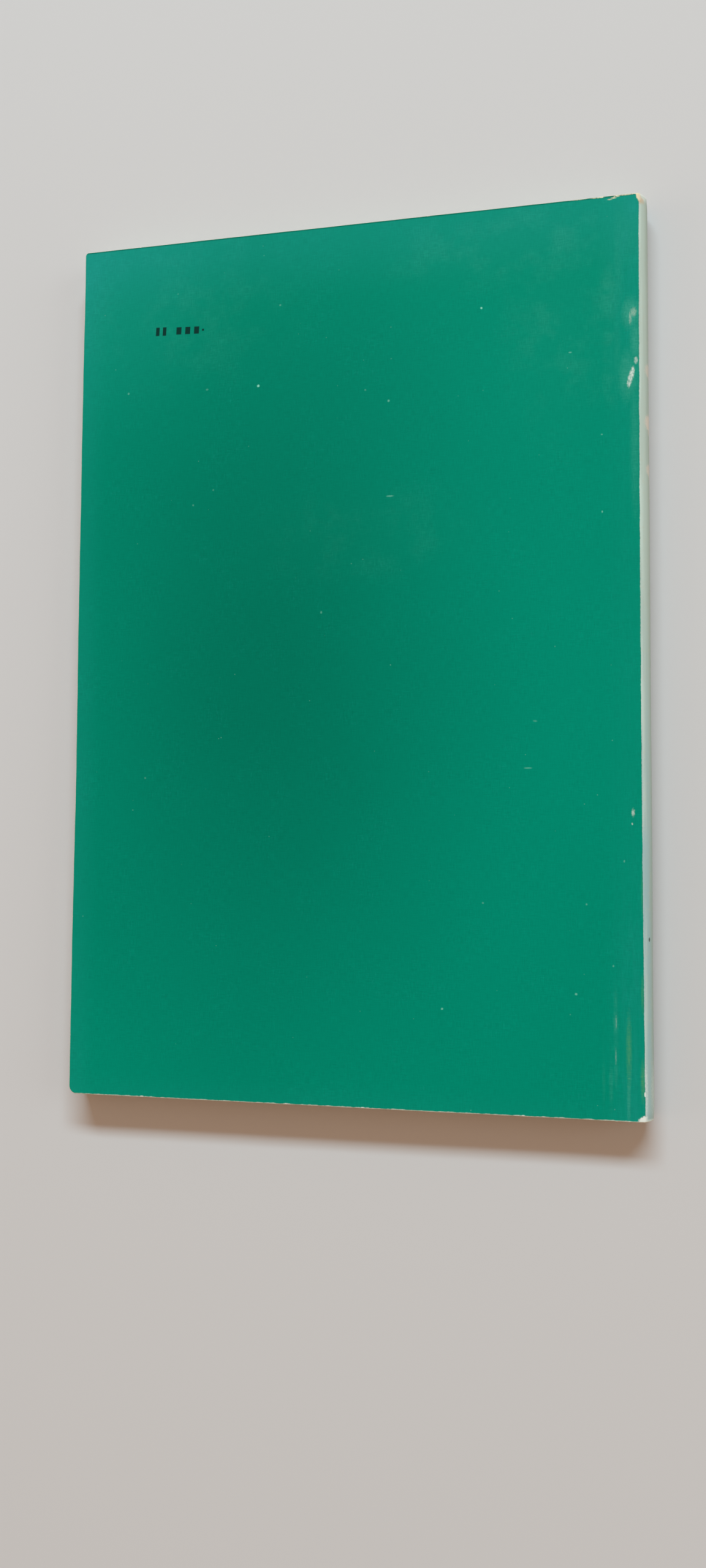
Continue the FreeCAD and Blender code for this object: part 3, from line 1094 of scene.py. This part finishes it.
def add_world():
    """Soft warm light from all round, and white where the camera looks past the floor."""
    world = bpy.data.worlds.new("studio")
    bpy.context.scene.world = world
    world.use_nodes = True
    tree = world.node_tree
    tree.nodes.clear()
    soft = tree.nodes.new("ShaderNodeBackground")
    soft.inputs["Color"].default_value = ROOM_COLOUR
    soft.inputs["Strength"].default_value = ROOM_STRENGTH
    white = tree.nodes.new("ShaderNodeBackground")
    white.inputs["Strength"].default_value = 1.0
    path = tree.nodes.new("ShaderNodeLightPath")
    pick = tree.nodes.new("ShaderNodeMixShader")
    out = tree.nodes.new("ShaderNodeOutputWorld")
    tree.links.new(path.outputs["Is Camera Ray"], pick.inputs[0])
    tree.links.new(soft.outputs[0], pick.inputs[1])
    tree.links.new(white.outputs[0], pick.inputs[2])
    tree.links.new(pick.outputs[0], out.inputs["Surface"])


def add_floor():
    """A plain pale table, just low enough for the front cover to lie on when it is opened."""
    drop = -CARD - FLOOR_CLEARANCE
    corners = [(x * FLOOR_HALF, y * FLOOR_HALF, drop) for x, y in ((-1, -1), (1, -1), (1, 1), (-1, 1))]
    mesh = bpy.data.meshes.new("floor")
    mesh.from_pydata(corners, [], [(0, 1, 2, 3)])
    look = Look("floor")
    mesh.materials.append(look.finish(TABLE, 0.9, specular=0.1))
    floor = bpy.data.objects.new("floor", mesh)
    bpy.context.scene.collection.objects.link(floor)


def main():
    add_camera()
    add_world()
    for lamp in LAMPS:
        add_lamp(*lamp)
    add_floor()

    print_side = printed_cover()
    cut_edge = plain_card("cut_card", *CUT_EDGE)
    inside = plain_card("inside_card", *INSIDE)
    card = [print_side, cut_edge, inside]

    back = cover_sheet("back_cover_card", 1, card, BACK_SEED)
    front = cover_sheet("front_cover_card", -1, card, FRONT_SEED)
    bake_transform(back)
    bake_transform(front)
    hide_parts("back_cover")
    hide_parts("front_cover")

    spine = spine_sheet(card)
    glue = glue_film([dried_glue()])
    leaves = leaf_stack([leaf_face(), leaf_edges()])
    for piece, node, slot in (
        (spine, "cover_spine", "cover_card"),
        (glue, "spine_glue", "glue"),
        (leaves, "page_block", "leaves"),
    ):
        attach(piece, "block")
        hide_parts(node)


bpy.context.scene.view_settings.view_transform = "Standard"
main()
